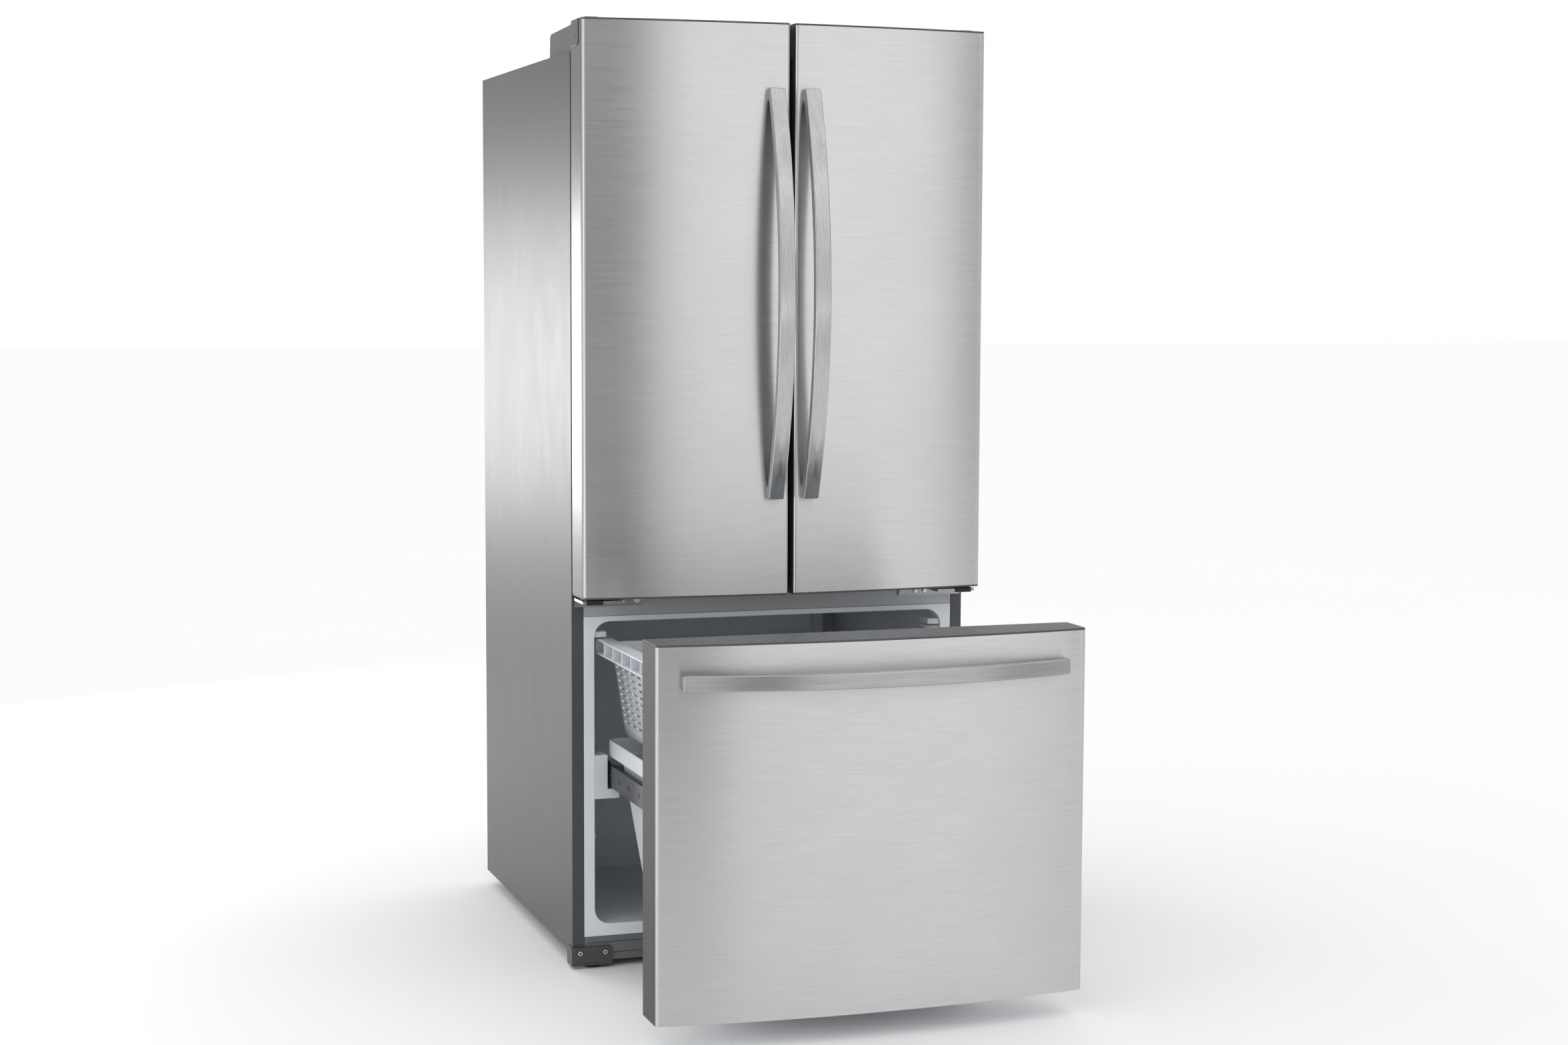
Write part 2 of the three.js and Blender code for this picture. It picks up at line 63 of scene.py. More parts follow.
# ---- Materials ---------------------------------------------------------------------------------------
class Shade:
    """A principled material whose colour, roughness and relief come from procedural noise."""

    def __init__(self, name, colour, roughness, metallic=0.0):
        self.material = bpy.data.materials.new(name)
        self.material.use_nodes = True
        self.tree = self.material.node_tree
        self.bsdf = self.tree.nodes["Principled BSDF"]
        self.colour = colour
        self.set("Base Color", (*colour, 1))
        self.set("Roughness", roughness)
        self.set("Metallic", metallic)
        self.place = self.node("ShaderNodeTexCoord").outputs["Object"]

    def node(self, kind, **values):
        made = self.tree.nodes.new(kind)
        for key, value in values.items():
            setattr(made, key, value)
        return made

    def set(self, socket, value):
        self.bsdf.inputs[socket].default_value = value

    def link(self, out, socket):
        self.tree.links.new(out, socket)

    def noise(self, scale, detail=2.0, rough=0.5):
        """Noise whose scale is given per axis, in cycles per metre."""
        mapping = self.node("ShaderNodeMapping")
        mapping.inputs["Scale"].default_value = scale if isinstance(scale, tuple) else (scale,) * 3
        self.link(self.place, mapping.inputs["Vector"])
        noise = self.node("ShaderNodeTexNoise")
        noise.inputs["Scale"].default_value = 1.0
        noise.inputs["Detail"].default_value = detail
        noise.inputs["Roughness"].default_value = rough
        self.link(mapping.outputs["Vector"], noise.inputs["Vector"])
        return noise.outputs["Fac"]

    def spread(self, source, low, high, near=0.3, far=0.7):
        ramp = self.node("ShaderNodeMapRange")
        ramp.inputs["From Min"].default_value = near
        ramp.inputs["From Max"].default_value = far
        ramp.inputs["To Min"].default_value = low
        ramp.inputs["To Max"].default_value = high
        self.link(source, ramp.inputs["Value"])
        return ramp.outputs["Result"]

    def multiply(self, a, b):
        made = self.node("ShaderNodeMath", operation="MULTIPLY")
        self.link(a, made.inputs[0])
        self.link(b, made.inputs[1])
        return made.outputs[0]

    def tone(self, *factors):
        """Base colour times every factor."""
        total = factors[0]
        for factor in factors[1:]:
            total = self.multiply(total, factor)
        scaled = self.node("ShaderNodeVectorMath", operation="SCALE")
        scaled.inputs[0].default_value = self.colour
        self.link(total, scaled.inputs["Scale"])
        self.link(scaled.outputs["Vector"], self.bsdf.inputs["Base Color"])

    def relief(self, source, distance, strength=1.0, edge=0.0):
        bump = self.node("ShaderNodeBump")
        bump.inputs["Distance"].default_value = distance
        bump.inputs["Strength"].default_value = strength
        self.link(source, bump.inputs["Height"])
        if edge:
            bevel = self.node("ShaderNodeBevel", samples=4)
            bevel.inputs["Radius"].default_value = edge
            self.link(bevel.outputs["Normal"], bump.inputs["Normal"])
        self.link(bump.outputs["Normal"], self.bsdf.inputs["Normal"])

    def roughen(self, source, low, high):
        self.link(self.spread(source, low, high), self.bsdf.inputs["Roughness"])


def brushed(name, colour, roughness, along, depth=0.5, edge=0.0):
    """Metal brushed along one axis: fine streaks, longer bands, and faint handling marks."""
    shade = Shade(name, colour, roughness, 1.0)
    fine = {"x": (13, 13, 800), "z": (800, 300, 13)}[along]
    broad = {"x": (8, 8, 380), "z": (380, 120, 8)}[along]
    streak = shade.noise(fine, 3.0, 0.6)
    band = shade.noise(broad, 2.0, 0.5)
    cloud = shade.noise(5.0, 2.0)
    shade.tone(
        shade.spread(streak, 1 - 0.13 * depth, 1 + 0.11 * depth),
        shade.spread(band, 1 - 0.04 * depth, 1 + 0.03 * depth),
        shade.spread(cloud, 0.975, 1.02),
    )
    shade.roughen(band, roughness - 0.01, roughness + 0.02)
    shade.relief(streak, 0.00002 * depth, 0.12, edge)
    shade.set("Anisotropic", 0.9)
    tangent = shade.node("ShaderNodeTangent", direction_type="RADIAL", axis="Z")
    shade.link(tangent.outputs["Tangent"], shade.bsdf.inputs["Tangent"])
    shade.set("Anisotropic Rotation", 0.25 if along == "x" else 0.0)
    return shade.material


def painted(name, colour, roughness, metallic, grain=1400, edge=0.0006):
    """Satin paint with orange peel, slow tone changes and faint smudges."""
    shade = Shade(name, colour, roughness, metallic)
    peel = shade.noise(grain, 2.0)
    slow = shade.noise(2.3, 2.0)
    smudge = shade.noise((22, 22, 9), 4.0, 0.6)
    shade.tone(shade.spread(slow, 0.96, 1.03), shade.spread(peel, 0.97, 1.03))
    shade.roughen(smudge, roughness - 0.01, roughness + 0.02)
    shade.relief(peel, 0.00008, 0.3, edge)
    return shade.material


def plastic(name, colour, roughness, grain=900, edge=0.001, glow=0.0, wear=0.05):
    """Moulded plastic with fine texture, flow tone and dust settled in the relief."""
    shade = Shade(name, colour, roughness)
    skin = shade.noise(grain, 3.0, 0.6)
    flow = shade.noise((7, 7, 3), 3.0)
    dust = shade.noise(60, 4.0, 0.65)
    shade.tone(shade.spread(flow, 1 - wear, 1 + wear / 2), shade.spread(dust, 1 - wear / 2, 1.0))
    shade.roughen(dust, roughness - 0.04, roughness + 0.08)
    shade.relief(skin, 0.00006, 0.3, edge)
    if glow:
        shade.set("Subsurface Weight", glow)
        shade.set("Subsurface Radius", (0.02, 0.022, 0.024))
        shade.set("Subsurface Scale", 0.4)
    return shade.material


def clear(name, colour, roughness, tint=0.9):
    """Clear plastic or glass, with smears in the roughness and waves in the surface."""
    shade = Shade(name, colour, roughness)
    smear = shade.noise((14, 14, 8), 4.0, 0.6)
    wave = shade.noise(18, 2.0)
    shade.tone(shade.spread(smear, tint, 1.0))
    shade.roughen(smear, roughness, roughness + 0.12)
    shade.relief(wave, 0.0003, 0.15)
    shade.set("Transmission Weight", 0.82)
    shade.set("IOR", 1.45)
    return shade.material


LOOK = {
    "case_paint": painted("case_paint", (0.070, 0.072, 0.075), 0.42, 0.30),
    "dark_trim": painted("dark_trim", (0.070, 0.072, 0.075), 0.42, 0.2),
    "door_steel": brushed("door_steel", (0.60, 0.60, 0.604), 0.30, "x"),
    "handle_steel": brushed("handle_steel", (0.50, 0.50, 0.502), 0.25, "z", 1.0),
    "cap_plastic": plastic("cap_plastic", (0.072, 0.074, 0.078), 0.42),
    "gasket": plastic("gasket", (0.16, 0.165, 0.17), 0.7, grain=600),
    "liner": plastic("liner", (0.77, 0.80, 0.84), 0.34, grain=500, edge=0.002),
    "bin": plastic("bin", (0.66, 0.69, 0.72), 0.32, grain=500, glow=0.12),
    "clear_plastic": clear("clear_plastic", (0.86, 0.91, 0.94), 0.06),
    "shelf_glass": clear("shelf_glass", (0.84, 0.93, 0.92), 0.02, 0.97),
    "rail": brushed("rail", (0.095, 0.097, 0.101), 0.36, "x", 1.2, edge=0.0006),
    "hinge_steel": brushed("hinge_steel", (0.40, 0.405, 0.41), 0.36, "x", 0.8, edge=0.0006),
    "hinge_cover": plastic("hinge_cover", (0.078, 0.082, 0.087), 0.40, edge=0.0025),
    "black_parts": plastic("black_parts", (0.012, 0.012, 0.013), 0.5),
}
EXTRA = {
    "drawer_side": painted("drawer_side", (0.030, 0.031, 0.033), 0.50, 0.0),
    "door_side": painted("door_side", (0.16, 0.162, 0.166), 0.30, 0.6),
    # Painted dark reflection: the strip of each door's side face next to the rounded corner.
    "corner_dark_reflection": painted("corner_dark_reflection", (0.045, 0.046, 0.048), 0.45, 0.2),
    "rail_paint": painted("rail_paint", (0.42, 0.425, 0.435), 0.42, 0.25),
    "kick_paint": painted("kick_paint", (0.16, 0.164, 0.168), 0.42, 0.25),
    "drawer_handle_steel": brushed("drawer_handle_steel", (0.42, 0.42, 0.422), 0.32, "x", 1.0),
    "bright_screw": brushed("bright_screw", (0.62, 0.62, 0.63), 0.25, "x", 0.6, edge=0.0004),
    # Real black parts, and painted shade in screw recesses, rail slots and the door cheek holes.
    "black_parts_and_hole_shade": plastic("black_parts_and_hole_shade", (0.02, 0.021, 0.023), 0.6),
    "lamp_cover": plastic("lamp_cover", (0.82, 0.84, 0.85), 0.3, glow=0.3),
    "vent_shadow": plastic("vent_shadow", (0.03, 0.031, 0.033), 0.7),
}

OWN_LOOK = {"kick_plate": EXTRA["kick_paint"], "center_rail": EXTRA["rail_paint"]}

for entry in frame["record"]["subparts"]:
    data = frame["nodes"][entry["node"]].data
    data.materials.clear()
    data.materials.append(OWN_LOOK.get(entry["node"], LOOK[entry["material_slot"]]))


# ---- Pieces ------------------------------------------------------------------------------------------
def piece(name, verts, faces, look, body, slot=None, bevel=0.0, smooth=35, replaces=()):
    mesh = bpy.data.meshes.new(name)
    mesh.from_pydata([tuple(v) for v in verts], [], faces)
    mesh.validate()
    shell = bmesh.new()
    shell.from_mesh(mesh)
    bmesh.ops.recalc_face_normals(shell, faces=shell.faces)
    shell.to_mesh(mesh)
    shell.free()
    mesh.materials.append(look)
    mesh.shade_smooth()
    mesh.set_sharp_from_angle(angle=math.radians(smooth))
    made = bpy.data.objects.new(name, mesh)
    scene.collection.objects.link(made)
    if bevel:
        edge = made.modifiers.new("edge", "BEVEL")
        edge.width = bevel
        edge.segments = 3
        edge.limit_method = "ANGLE"
        edge.angle_limit = math.radians(50)
        edge.harden_normals = True
    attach(made, body)
    if replaces:
        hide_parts(*replaces)
    return made


def prism(points, low, high, axis="z"):
    """A closed outline run along an axis. Points are (x, y) for z, (y, z) for x and (x, z) for y."""
    lift = {
        "z": lambda p, d: (p[0], p[1], d),
        "x": lambda p, d: (d, p[0], p[1]),
        "y": lambda p, d: (p[0], d, p[1]),
    }[axis]
    n = len(points)
    verts = [lift(p, low) for p in points] + [lift(p, high) for p in points]
    faces = [(i, (i + 1) % n, n + (i + 1) % n, n + i) for i in range(n)]
    return verts, faces + [tuple(range(n))[::-1], tuple(range(n, 2 * n))]


def block(name, low, high, look, body, slot=None, bevel=0.0006):
    (x0, y0, z0), (x1, y1, z1) = low, high
    x0, x1 = sorted((x0, x1))
    outline = [(x0, y0), (x1, y0), (x1, y1), (x0, y1)]
    return piece(name, *prism(outline, z0, z1), look, body, slot, bevel)


def disc(name, centre, radius, depth, look, body, slot=None, axis="y", bevel=0.0005, sides=32):
    """A short round head whose outer face is at centre and which runs back along the axis by depth."""
    ring = [
        (radius * math.cos(2 * math.pi * i / sides), radius * math.sin(2 * math.pi * i / sides))
        for i in range(sides)
    ]
    a, b, c = centre
    if axis == "y":
        shape = prism([(a + u, c + v) for u, v in ring], b, b + depth, "y")
    elif axis == "z":
        shape = prism([(a + u, b + v) for u, v in ring], c - depth, c, "z")
    else:
        shape = prism([(b + u, c + v) for u, v in ring], a, a + depth, "x")
    return piece(name, *shape, look, body, slot, bevel)


def screw(name, centre, radius, look, body, slot, axis="y"):
    """A domed head with a cross recess shown as two thin bars of painted shade let into it."""
    disc(name, centre, radius, 1.2 * MM, look, body, slot, axis, 0.6 * MM)
    a, b, c = centre
    reach, width = radius * 0.55, radius * 0.16
    # The cross recess is painted shade: two dark bars instead of a hollow.
    for tag, (u, v) in (("h", (reach, width)), ("v", (width, reach))):
        if axis == "y":
            low, high = (a - u, b - 0.05 * MM, c - v), (a + u, b + 0.5 * MM, c + v)
        else:
            low, high = (a - u, b - v, c - 0.5 * MM), (a + u, b + v, c + 0.05 * MM)
        block(f"{name}_recess_{tag}", low, high, EXTRA["black_parts_and_hole_shade"], body, "black_parts", 0)


# ---- Bowed fronts ------------------------------------------------------------------------------------
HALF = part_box("freezer_front_skin")[1].x
BOW = 27 * MM
EDGE = 78 * MM  # from a front's back plane to the bowed face at the edge
CORNER = 6 * MM
STRIP = 5 * MM  # width of the painted dark reflection line on a side face, next to its corner
FOLD = 2  # index in the outline of the point where a side face turns into the corner


def front_outline(x0, x1, inset, back):
    """The U-shaped section of a front from its back plane round the bowed face and back."""
    face = lambda x: back - EDGE - BOW * (1 - (x / HALF) ** 2)
    low, high, r = x0 + inset, x1 - inset, CORNER - inset
    # Two extra points split each side face, so a strip next to the corner can carry a painted dark reflection
    # line.
    rear = face(low + r) + inset + r
    points = [(low, back), (low, rear + STRIP)]
    for i in range(9):
        a = math.pi + i / 8 * math.pi / 2
        points.append((low + r + r * math.cos(a), face(low + r) + inset + r + r * math.sin(a)))
    for i in range(1, 72):
        x = low + r + (high - low - 2 * r) * i / 72
        points.append((x, face(x) + inset))
    for i in range(9):
        a = -math.pi / 2 + i / 8 * math.pi / 2
        points.append((high - r + r * math.cos(a), face(high - r) + inset + r + r * math.sin(a)))
    return points + [(high, face(high - r) + inset + r + STRIP), (high, back)]


def skin(node, body, *side_looks):
    """A folded front: brushed bowed face, side faces in their own look, a painted dark reflection line by the
    corner.
    """
    low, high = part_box(node)
    outer = front_outline(low.x, high.x, 0, high.y)
    inner = front_outline(low.x, high.x, 2 * MM, high.y)
    n = len(outer)
    verts = [(x, y, z) for z in (low.z, high.z) for x, y in outer]
    verts += [(x, y, z) for z in (low.z, high.z) for x, y in inner]
    a, b, c, d = 0, n, 2 * n, 3 * n
    faces = []
    for i in range(n - 1):
        j = i + 1
        faces.append((a + i, a + j, b + j, b + i))
        faces.append((c + j, c + i, d + i, d + j))
        faces.append((b + i, b + j, d + j, d + i))
        faces.append((a + j, a + i, c + i, c + j))
    faces.append((a, b, d, c))
    faces.append((b + n - 1, a + n - 1, c + n - 1, d + n - 1))
    made = piece(f"{node}_fine", verts, faces, LOOK["door_steel"], body, "door_steel", replaces=(node,))
    for look in side_looks:
        made.data.materials.append(look)
    fold = outer[FOLD][1]
    # Side faces by the corner take the last side look, which is the painted dark reflection line on the doors;
    # the other side faces take the first side look.
    for face in made.data.polygons:
        if abs(face.normal.x) > 0.99:
            face.material_index = len(side_looks) if face.center.y < fold + STRIP else 1


skin("left_door_skin", "left_door", EXTRA["door_side"], EXTRA["corner_dark_reflection"])
skin("right_door_skin", "right_door", EXTRA["door_side"], EXTRA["corner_dark_reflection"])
skin("freezer_front_skin", "drawer", EXTRA["drawer_side"])


# ---- Handles -----------------------------------------------------------------------------------------
def strap(reach, base, front, thick=15 * MM, foot=22 * MM, steps=64):
    """Section of an arched bar on two feet: (along, out) pairs for the outer and the inner side."""

    def arc(r, centre, at):
        return centre - math.sqrt(r * r - at * at)

    rise = base - thick - front
    radius = (reach * reach + rise * rise) / (2 * rise)
    centre = front + radius
    inner_reach = reach - foot
    outer, inner = [(-reach, base)], [(-inner_reach, base)]
    for i in range(steps + 1):
        share = -1 + 2 * i / steps
        outer.append((share * reach, arc(radius, centre, share * reach)))
        inner.append((share * inner_reach, arc(radius - thick, centre, share * inner_reach)))
    return outer + [(reach, base)], inner + [(inner_reach, base)]


def bar(node, body, look, slot, upright):
    low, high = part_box(node)
    axis = 2 if upright else 0
    reach, middle = (high[axis] - low[axis]) / 2, (high[axis] + low[axis]) / 2
    # The drawer's bowed face cuts its handle's feet unevenly; the bar starts from the shallower edge.
    base = high.y if upright else high.y - 4 * MM
    outer, inner = strap(reach, base, low.y)
    w0, w1 = (low.x, high.x) if upright else (low.z, high.z)
    place = (lambda a, o, w: (w, o, a + middle)) if upright else (lambda a, o, w: (a + middle, o, w))
    n = len(outer)
    verts = [place(a, o, w) for w in (w0, w1) for a, o in outer]
    verts += [place(a, o, w) for w in (w0, w1) for a, o in inner]
    faces = []
    for i in range(n - 1):
        j = i + 1
        faces.append((i, j, n + j, n + i))
        faces.append((2 * n + j, 2 * n + i, 3 * n + i, 3 * n + j))
        faces.append((n + i, n + j, 3 * n + j, 3 * n + i))
        faces.append((j, i, 2 * n + i, 2 * n + j))
    faces.append((0, n, 3 * n, 2 * n))
    faces.append((n + n - 1, n - 1, 3 * n - 1, 4 * n - 1))
    piece(f"{node}_fine", verts, faces, look, body, slot, 2.4 * MM, 30, (node,))


for name, side in SIDES:
    bar(f"{name}_door_handle", f"{name}_door", LOOK["handle_steel"], "handle_steel", True)
bar("freezer_handle", "drawer", EXTRA["drawer_handle_steel"], "handle_steel", False)


# ---- Upper basket ------------------------------------------------------------------------------------
class Faces:
    """Collects quads and turns them into one mesh."""

    def __init__(self):
        self.verts, self.faces = [], []

    def quad(self, *corners):
        start = len(self.verts)
        self.verts += [tuple(c) for c in corners]
        self.faces.append(tuple(range(start, start + len(corners))))

    def slab(self, low, high):
        (x0, y0, z0), (x1, y1, z1) = low, high
        x0, x1 = sorted((x0, x1))
        verts, faces = prism([(x0, y0), (x1, y0), (x1, y1), (x0, y1)], z0, z1)
        start = len(self.verts)
        self.verts += verts
        self.faces += [tuple(start + i for i in f) for f in faces]


def slotted_wall(faces, bottom_a, bottom_b, top_a, top_b, pitch, slot, rows, row_pitch, row_height, start):
    """A flat wall between four corners, pierced by rows of slots that run along it."""
    at = lambda u, v: (bottom_a.lerp(bottom_b, u)).lerp(top_a.lerp(top_b, u), v)
    length = (top_b - top_a).length
    height = (top_a - bottom_a).length
    columns = int((length - 20 * MM) / pitch)
    margin = (length - columns * pitch + (pitch - slot)) / 2
    v = 0.0
    for row in range(rows):
        low = (start + row * row_pitch) / height
        high = low + row_height / height
        faces.quad(at(0, v), at(1, v), at(1, low), at(0, low))
        u = 0.0
        for column in range(columns):
            left = (margin + column * pitch) / length
            faces.quad(at(u, low), at(left, low), at(left, high), at(u, high))
            u = left + slot / length
        faces.quad(at(u, low), at(1, low), at(1, high), at(u, high))
        v = high
    faces.quad(at(0, v), at(1, v), at(1, 1), at(0, 1))


def basket():
    low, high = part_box("freezer_basket")
    y = lambda mm: low.y + (mm - 8) * MM
    z0, z1, zt = low.z, low.z + 145 * MM, high.z
    bx, tx = 282 * MM, 302 * MM
    walls = Faces()
    bottom = [Vector((sx * bx, y(yy), z0)) for sx, yy in ((-1, 30), (1, 30), (1, 448), (-1, 448))]
    top = [Vector((sx * tx, y(yy), z1)) for sx, yy in ((-1, 14), (1, 14), (1, 460), (-1, 460))]
    for i in range(4):
        j = (i + 1) % 4
        slotted_wall(
            walls, bottom[i], bottom[j], top[i], top[j], 42 * MM, 25 * MM, 9, 12.6 * MM, 4.4 * MM, 22 * MM
        )
    slotted_wall(
        walls, bottom[0], bottom[1], bottom[3], bottom[2], 42 * MM, 25 * MM, 16, 25 * MM, 5 * MM, 12 * MM
    )
    shell = piece(
        "freezer_basket_walls", walls.verts, walls.faces, LOOK["bin"], "basket", "bin",
        replaces=("freezer_basket",),
    )
    thick = shell.modifiers.new("thick", "SOLIDIFY")
    thick.thickness = 2.4 * MM
    thick.offset = 0

    rim = Faces()
    rim.slab((-tx - 1 * MM, y(456), z1 - 2 * MM), (tx + 1 * MM, y(459), zt - 4 * MM))
    rim.slab((-tx, y(14), z1 - 2 * MM), (tx, y(17), zt - 2 * MM))
    for side in (-1, 1):
        inside, outside = side * (tx - 2 * MM), side * high.x
        rim.slab((inside, y(8), zt - 3 * MM), (outside, y(494), zt))
        rim.slab((side * tx, y(8), low.z + 143 * MM), (outside, y(494), low.z + 145.5 * MM))
        rim.slab((inside, y(9), low.z + 144 * MM), (side * (tx + 1 * MM), y(493), zt - 1 * MM))
        for k in range(9):
            at = y(8 + k * (486 - 3) / 8)
            rim.slab((side * tx, at, low.z + 144 * MM), (outside - side * 0.6 * MM, at + 3 * MM, zt - 1 * MM))
    piece("freezer_basket_rim", rim.verts, rim.faces, LOOK["bin"], "basket", "bin", 0.5 * MM)


basket()


# ---- Small parts -------------------------------------------------------------------------------------
def leg_brackets():
    for name, side in SIDES:
        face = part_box(f"{name}_leg_bracket")[0].y
        for tag, x in (("outer", 365), ("inner", 318)):
            centre = (side * x * MM, face - 0.9 * MM, 0.029)
            disc(
                f"{name}_leg_{tag}_washer", (centre[0], face - 0.4 * MM, 0.029), 6.4 * MM, 0.6 * MM,
                EXTRA["black_parts_and_hole_shade"], "cabinet", "black_parts", bevel=0.0002,
            )
            screw(
                f"{name}_leg_{tag}_screw", centre, 4.6 * MM, EXTRA["bright_screw"],
                "cabinet", "hinge_steel",
            )
        block(
            f"{name}_leg_rib", (side * 322 * MM, face - 0.8 * MM, 0.0085),
            (side * 362 * MM, face + 0.2 * MM, 0.0105),
            LOOK["dark_trim"], "cabinet", "dark_trim", 0.0003,
        )


def kick_seams():
    low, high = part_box("kick_plate")
    for k, z in enumerate((0.0255, 0.0455)):
        block(
            f"kick_line_{k}", (low.x + 0.006, low.y - 0.0007, z),
            (high.x - 0.006, low.y + 0.0002, z + 0.0014),
            LOOK["dark_trim"], "cabinet", "dark_trim", 0.0003,
        )


def top_covers():
    for name, side in SIDES:
        low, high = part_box(f"{name}_top_hinge_cover")
        mid = (low.x + high.x) / 2
        deck = high.z
        block(
            f"{name}_cover_step", (low.x + 0.004, low.y + 0.046, deck - 0.004),
            (high.x - 0.004, low.y + 0.052, deck + 0.0012),
            LOOK["hinge_cover"], "cabinet", "hinge_cover", 0.0008,
        )
        screw(
            f"{name}_cover_screw", (mid, low.y + 0.11, deck - 0.0016), 4 * MM, EXTRA["black_parts_and_hole_shade"],
            "cabinet", "black_parts", "z",
        )
        arm_low, arm_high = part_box(f"{name}_top_hinge")
        disc(
            f"{name}_top_pin_head", (side * 0.356, arm_low.y + 0.014, arm_high.z + 0.0006), 6 * MM, 1.4 * MM,
            EXTRA["bright_screw"], "cabinet", "hinge_steel", "z",
        )


def door_cheeks():
    """The thin cover on each door's outer side, beside the top hinge, with its small fixing hole."""
    for name, side in SIDES:
        low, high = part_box(f"{name}_door_skin")
        face = low.x if side < 0 else high.x
        y = lambda mm: high.y + mm * MM
        outline = [
            (y(-0.5), 1.6575), (y(-46), 1.6575), (y(-51), 1.6592), (y(-54), 1.6635), (y(-55), 1.669),
            (y(-55), 1.7036), (y(-36), 1.7036), (y(-30), 1.6985), (y(-0.5), 1.6970),
        ]  # fmt: skip
        piece(
            f"{name}_door_cheek", *prism(outline, face - side * 0.2 * MM, face + side * 1.3 * MM, "x"),
            LOOK["hinge_cover"], f"{name}_door", "hinge_cover", 0.0005,
        )
        # The fixing hole is a dark disc of painted shade, not an opening.
        disc(
            f"{name}_door_cheek_hole", (face + side * 1.45 * MM, y(-32), 1.676), 2.4 * MM, -side * 0.6 * MM,
            EXTRA["black_parts_and_hole_shade"], f"{name}_door", "black_parts", axis="x", bevel=0.0,
        )


def middle_hinges():
    for name, side in SIDES:
        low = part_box(f"{name}_middle_hinge")[0]
        front_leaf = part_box("center_rail")[0].y - 4 * MM
        for k, x in enumerate((284, 302)):
            disc(
                f"{name}_hinge_bolt_{k}", (side * x * MM, front_leaf - 0.0024, 0.672), 4.2 * MM, 2.6 * MM,
                EXTRA["bright_screw"], "cabinet", "hinge_steel", bevel=0.001,
            )
        disc(
            f"{name}_hinge_cap", (side * 0.257, front_leaf - 0.0026, 0.6762), 7.0 * MM, 2.8 * MM,
            EXTRA["lamp_cover"], "cabinet", "liner", bevel=0.001,
        )
        block(
            f"{name}_door_closer", (side * 0.338, low.y - 0.004, 0.6752),
            (side * 0.368, low.y + 0.020, 0.6838),
            EXTRA["black_parts_and_hole_shade"], "cabinet", "black_parts", 0.0012,
        )


def rails():
    for name, side in SIDES:
        low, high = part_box(f"{name}_slide_middle_rail")
        outside = low.x if side < 0 else high.x
        # The rail's slots are dark blocks of painted shade on its outer face, not openings.
        for k in range(7):
            y = low.y + (22 + 66 * k) * MM
            length = (20 if k % 2 else 9) * MM
            block(
                f"{name}_rail_slot_{k}", (outside - side * 0.2 * MM, y, 0.3498),
                (outside + side * 0.12 * MM, y + length, 0.3582),
                EXTRA["black_parts_and_hole_shade"], f"{name}_middle_slide", "black_parts", 0,
            )
        block(
            f"{name}_rail_stop", (low.x, low.y - 0.0048, low.z + 0.001),
            (high.x, low.y - 0.0002, high.z - 0.001),
            EXTRA["black_parts_and_hole_shade"], f"{name}_middle_slide", "black_parts", 0.0008,
        )


def freezer_details():
    for name, side in SIDES:
        wall = side * (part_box("freezer_liner")[1].x - 0.0197 - 0.0003)
        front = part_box("freezer_liner")[0].y
        block(
            f"{name}_basket_guide", (wall, front + 0.004, 0.6065), (side * 0.312, front + 0.046, 0.6175),
            LOOK["bin"], "cabinet", "bin", 0.0018,
        )
        block(
            f"{name}_liner_button", (wall, front + 0.010, 0.236), (side * 0.3315, front + 0.020, 0.246),
            LOOK["bin"], "cabinet", "bin", 0.0018,
        )
    low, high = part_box("evaporator_cover")
    hood = [
        (low.y - 0.010, 0.528), (low.y - 0.008, 0.528), (low.y - 0.008, 0.562),
        (low.y + 0.0003, 0.562), (low.y + 0.0003, 0.566), (low.y - 0.010, 0.566),
    ]  # fmt: skip
    piece("air_port_hood", *prism(hood, -0.27, 0.27, "x"), LOOK["liner"], "cabinet", "liner", 0.0008)
    for k in range(5):
        x = -0.24 + k * 0.12
        block(
            f"air_duct_rib_{k}", (x - 0.004, low.y - 0.004, low.z + 0.02),
            (x + 0.004, low.y + 0.0005, high.z - 0.12),
            LOOK["liner"], "cabinet", "liner", 0.0015,
        )


def fresh_details():
    low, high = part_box("fresh_food_liner")
    ceiling = 1.606
    block(
        "ceiling_lamp", (-0.09, low.y + 0.26, ceiling - 0.010), (0.09, low.y + 0.34, ceiling - 0.0003),
        EXTRA["lamp_cover"], "cabinet", "liner", 0.003,
    )
    block(
        "setting_panel", (-0.11, low.y + 0.10, ceiling - 0.008), (0.11, low.y + 0.15, ceiling - 0.0003),
        LOOK["cap_plastic"], "cabinet", "cap_plastic", 0.002,
    )
    for k in range(5):
        x = -0.08 + 0.04 * k
        disc(
            f"setting_button_{k}", (x, low.y + 0.125, ceiling - 0.0070), 0.006, 0.0016,
            EXTRA["lamp_cover"], "cabinet", "liner", "z",
        )
    block(
        "air_column", (-0.075, high.y - 0.016, 0.99), (0.075, high.y - 0.0033, 1.58),
        LOOK["liner"], "cabinet", "liner", 0.005,
    )
    for k in range(6):
        z = 1.03 + k * 0.095
        block(
            f"air_slot_{k}", (-0.045, high.y - 0.0166, z), (0.045, high.y - 0.0150, z + 0.010),
            EXTRA["vent_shadow"], "cabinet", "black_parts", 0.0004,
        )


def rear_details():
    low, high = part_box("rear_panel")
    for column, x in enumerate((low.x + 0.012, 0.0, high.x - 0.012)):
        for row in range(6):
            z = low.z + 0.02 + row * (high.z - low.z - 0.04) / 5
            turns = [math.tau * i / 20 for i in range(20)]
            ring = [(x + 0.0045 * math.cos(a), z + 0.0045 * math.sin(a)) for a in turns]
            piece(
                f"rear_screw_{column}_{row}", *prism(ring, high.y - 0.0002, high.y + 0.0014, "y"),
                EXTRA["bright_screw"], "cabinet", "hinge_steel", 0.0004,
            )


for make in (
    leg_brackets, kick_seams, top_covers, door_cheeks, middle_hinges,
    rails, freezer_details, fresh_details, rear_details,
):  # fmt: skip
    make()

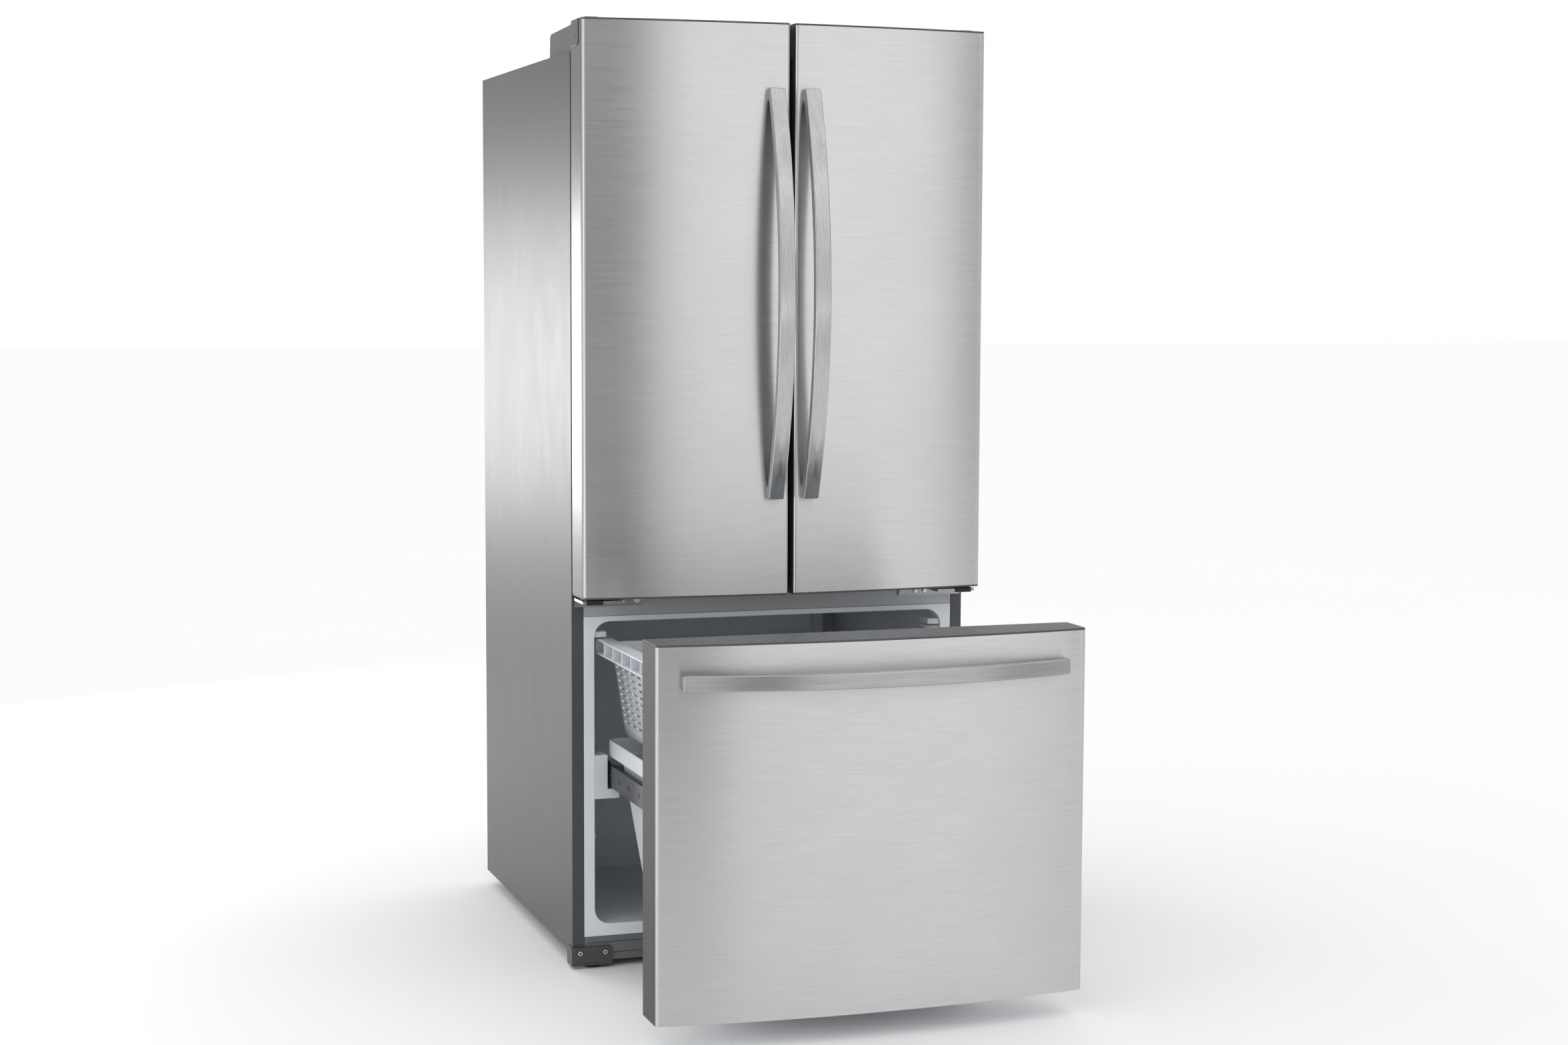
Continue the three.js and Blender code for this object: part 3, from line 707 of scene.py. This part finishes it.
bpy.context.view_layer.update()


# ---- Studio ------------------------------------------------------------------------------------------
def floor():
    reach = 45
    mesh = bpy.data.meshes.new("studio_floor")
    corners = [(-reach, -reach, 0), (reach, -reach, 0), (reach, reach, 0), (-reach, reach, 0)]
    mesh.from_pydata(corners, [], [(0, 1, 2, 3)])
    shade = Shade("studio_floor", (0.90, 0.90, 0.90), 0.7)
    shade.tone(shade.spread(shade.noise(0.8, 2.0), 0.995, 1.0))
    mesh.materials.append(shade.material)
    made = bpy.data.objects.new("studio_floor", mesh)
    scene.collection.objects.link(made)


def world():
    """Even light from above, softer near the horizon, and a plain white backdrop behind the object."""
    made = bpy.data.worlds.new("studio")
    scene.world = made
    made.use_nodes = True
    tree = made.node_tree
    tree.nodes.clear()
    new, link = tree.nodes.new, tree.links.new
    place = new("ShaderNodeTexCoord").outputs["Generated"]
    split = new("ShaderNodeSeparateXYZ")
    link(place, split.inputs[0])
    rise = new("ShaderNodeMapRange")
    rise.interpolation_type = "SMOOTHSTEP"
    for key, value in (("From Min", 0.05), ("From Max", 0.65), ("To Min", 0.55), ("To Max", 1.18)):
        rise.inputs[key].default_value = value
    link(split.outputs["Z"], rise.inputs["Value"])
    light = new("ShaderNodeBackground")
    link(rise.outputs["Result"], light.inputs["Strength"])
    back = new("ShaderNodeBackground")
    back.inputs["Strength"].default_value = 1.0
    for shade in (light, back):
        shade.inputs["Color"].default_value = (1, 1, 1, 1)
    path = new("ShaderNodeLightPath")
    mix = new("ShaderNodeMixShader")
    link(path.outputs["Is Camera Ray"], mix.inputs["Fac"])
    link(light.outputs[0], mix.inputs[1])
    link(back.outputs[0], mix.inputs[2])
    out = new("ShaderNodeOutputWorld")
    link(mix.outputs[0], out.inputs["Surface"])


def softbox(name, place, aim, width, height, power):
    data = bpy.data.lights.new(name, "AREA")
    data.shape = "RECTANGLE"
    data.size, data.size_y, data.energy = width, height, power
    made = bpy.data.objects.new(name, data)
    made.location = place
    made.rotation_mode = "QUATERNION"
    made.rotation_quaternion = (Vector(aim) - Vector(place)).to_track_quat("-Z", "Y")
    made.visible_camera = False
    scene.collection.objects.link(made)


def camera():
    data = bpy.data.cameras.new("camera")
    data.lens, data.sensor_width, data.sensor_fit = 60.18, 36.0, "HORIZONTAL"
    data.clip_end = 200
    made = bpy.data.objects.new("camera", data)
    yaw, pitch, roll = (math.radians(a) for a in (-18.666, -5.232, 0.236))
    ahead = Vector((-math.sin(yaw) * math.cos(pitch), math.cos(yaw) * math.cos(pitch), math.sin(pitch)))
    right = Vector((math.cos(yaw), math.sin(yaw), 0))
    up = right.cross(ahead)
    right, up = right * math.cos(roll) + up * math.sin(roll), up * math.cos(roll) - right * math.sin(roll)
    turn = Matrix((right, up, -ahead)).transposed().to_4x4()
    case_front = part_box("front_flange")[0].y
    made.matrix_world = Matrix.Translation((-1.51405, case_front - 4.55428, 1.24715)) @ turn
    scene.collection.objects.link(made)
    scene.camera = made


def card(name, x0, x1, y, high, tone):
    """A flag that only reflections and light see: it shapes the tones across the bowed steel."""
    mesh = bpy.data.meshes.new(name)
    corners = [(x0, y, 0.02), (x1, y, 0.02), (x1, y, high), (x0, y, high)]
    mesh.from_pydata(corners, [], [(0, 1, 2, 3)])
    shade = Shade(name, (tone, tone, tone), 0.9)
    shade.tone(shade.spread(shade.noise(3.0), 0.95, 1.0))
    mesh.materials.append(shade.material)
    made = bpy.data.objects.new(name, mesh)
    made.visible_camera = False
    made.visible_shadow = False
    scene.collection.objects.link(made)


floor()
world()
card("flag_front", -0.75, 0.0, -3.6, 2.8, 0.10)
card("flag_right", 2.75, 4.2, -3.3, 2.8, 0.35)
softbox("side_glow", (-1.7, 3.2, 1.0), (-0.4, 0.3, 1.1), 1.3, 0.9, 29)
softbox("front_right", (1.9, -5.0, 2.2), (0.1, -0.3, 1.0), 3.4, 3.0, 18)
softbox("edge_left", (-4.2, -2.6, 1.1), (-0.38, 0.0, 1.1), 1.2, 2.6, 22)
camera()
scene.view_settings.view_transform = "Standard"
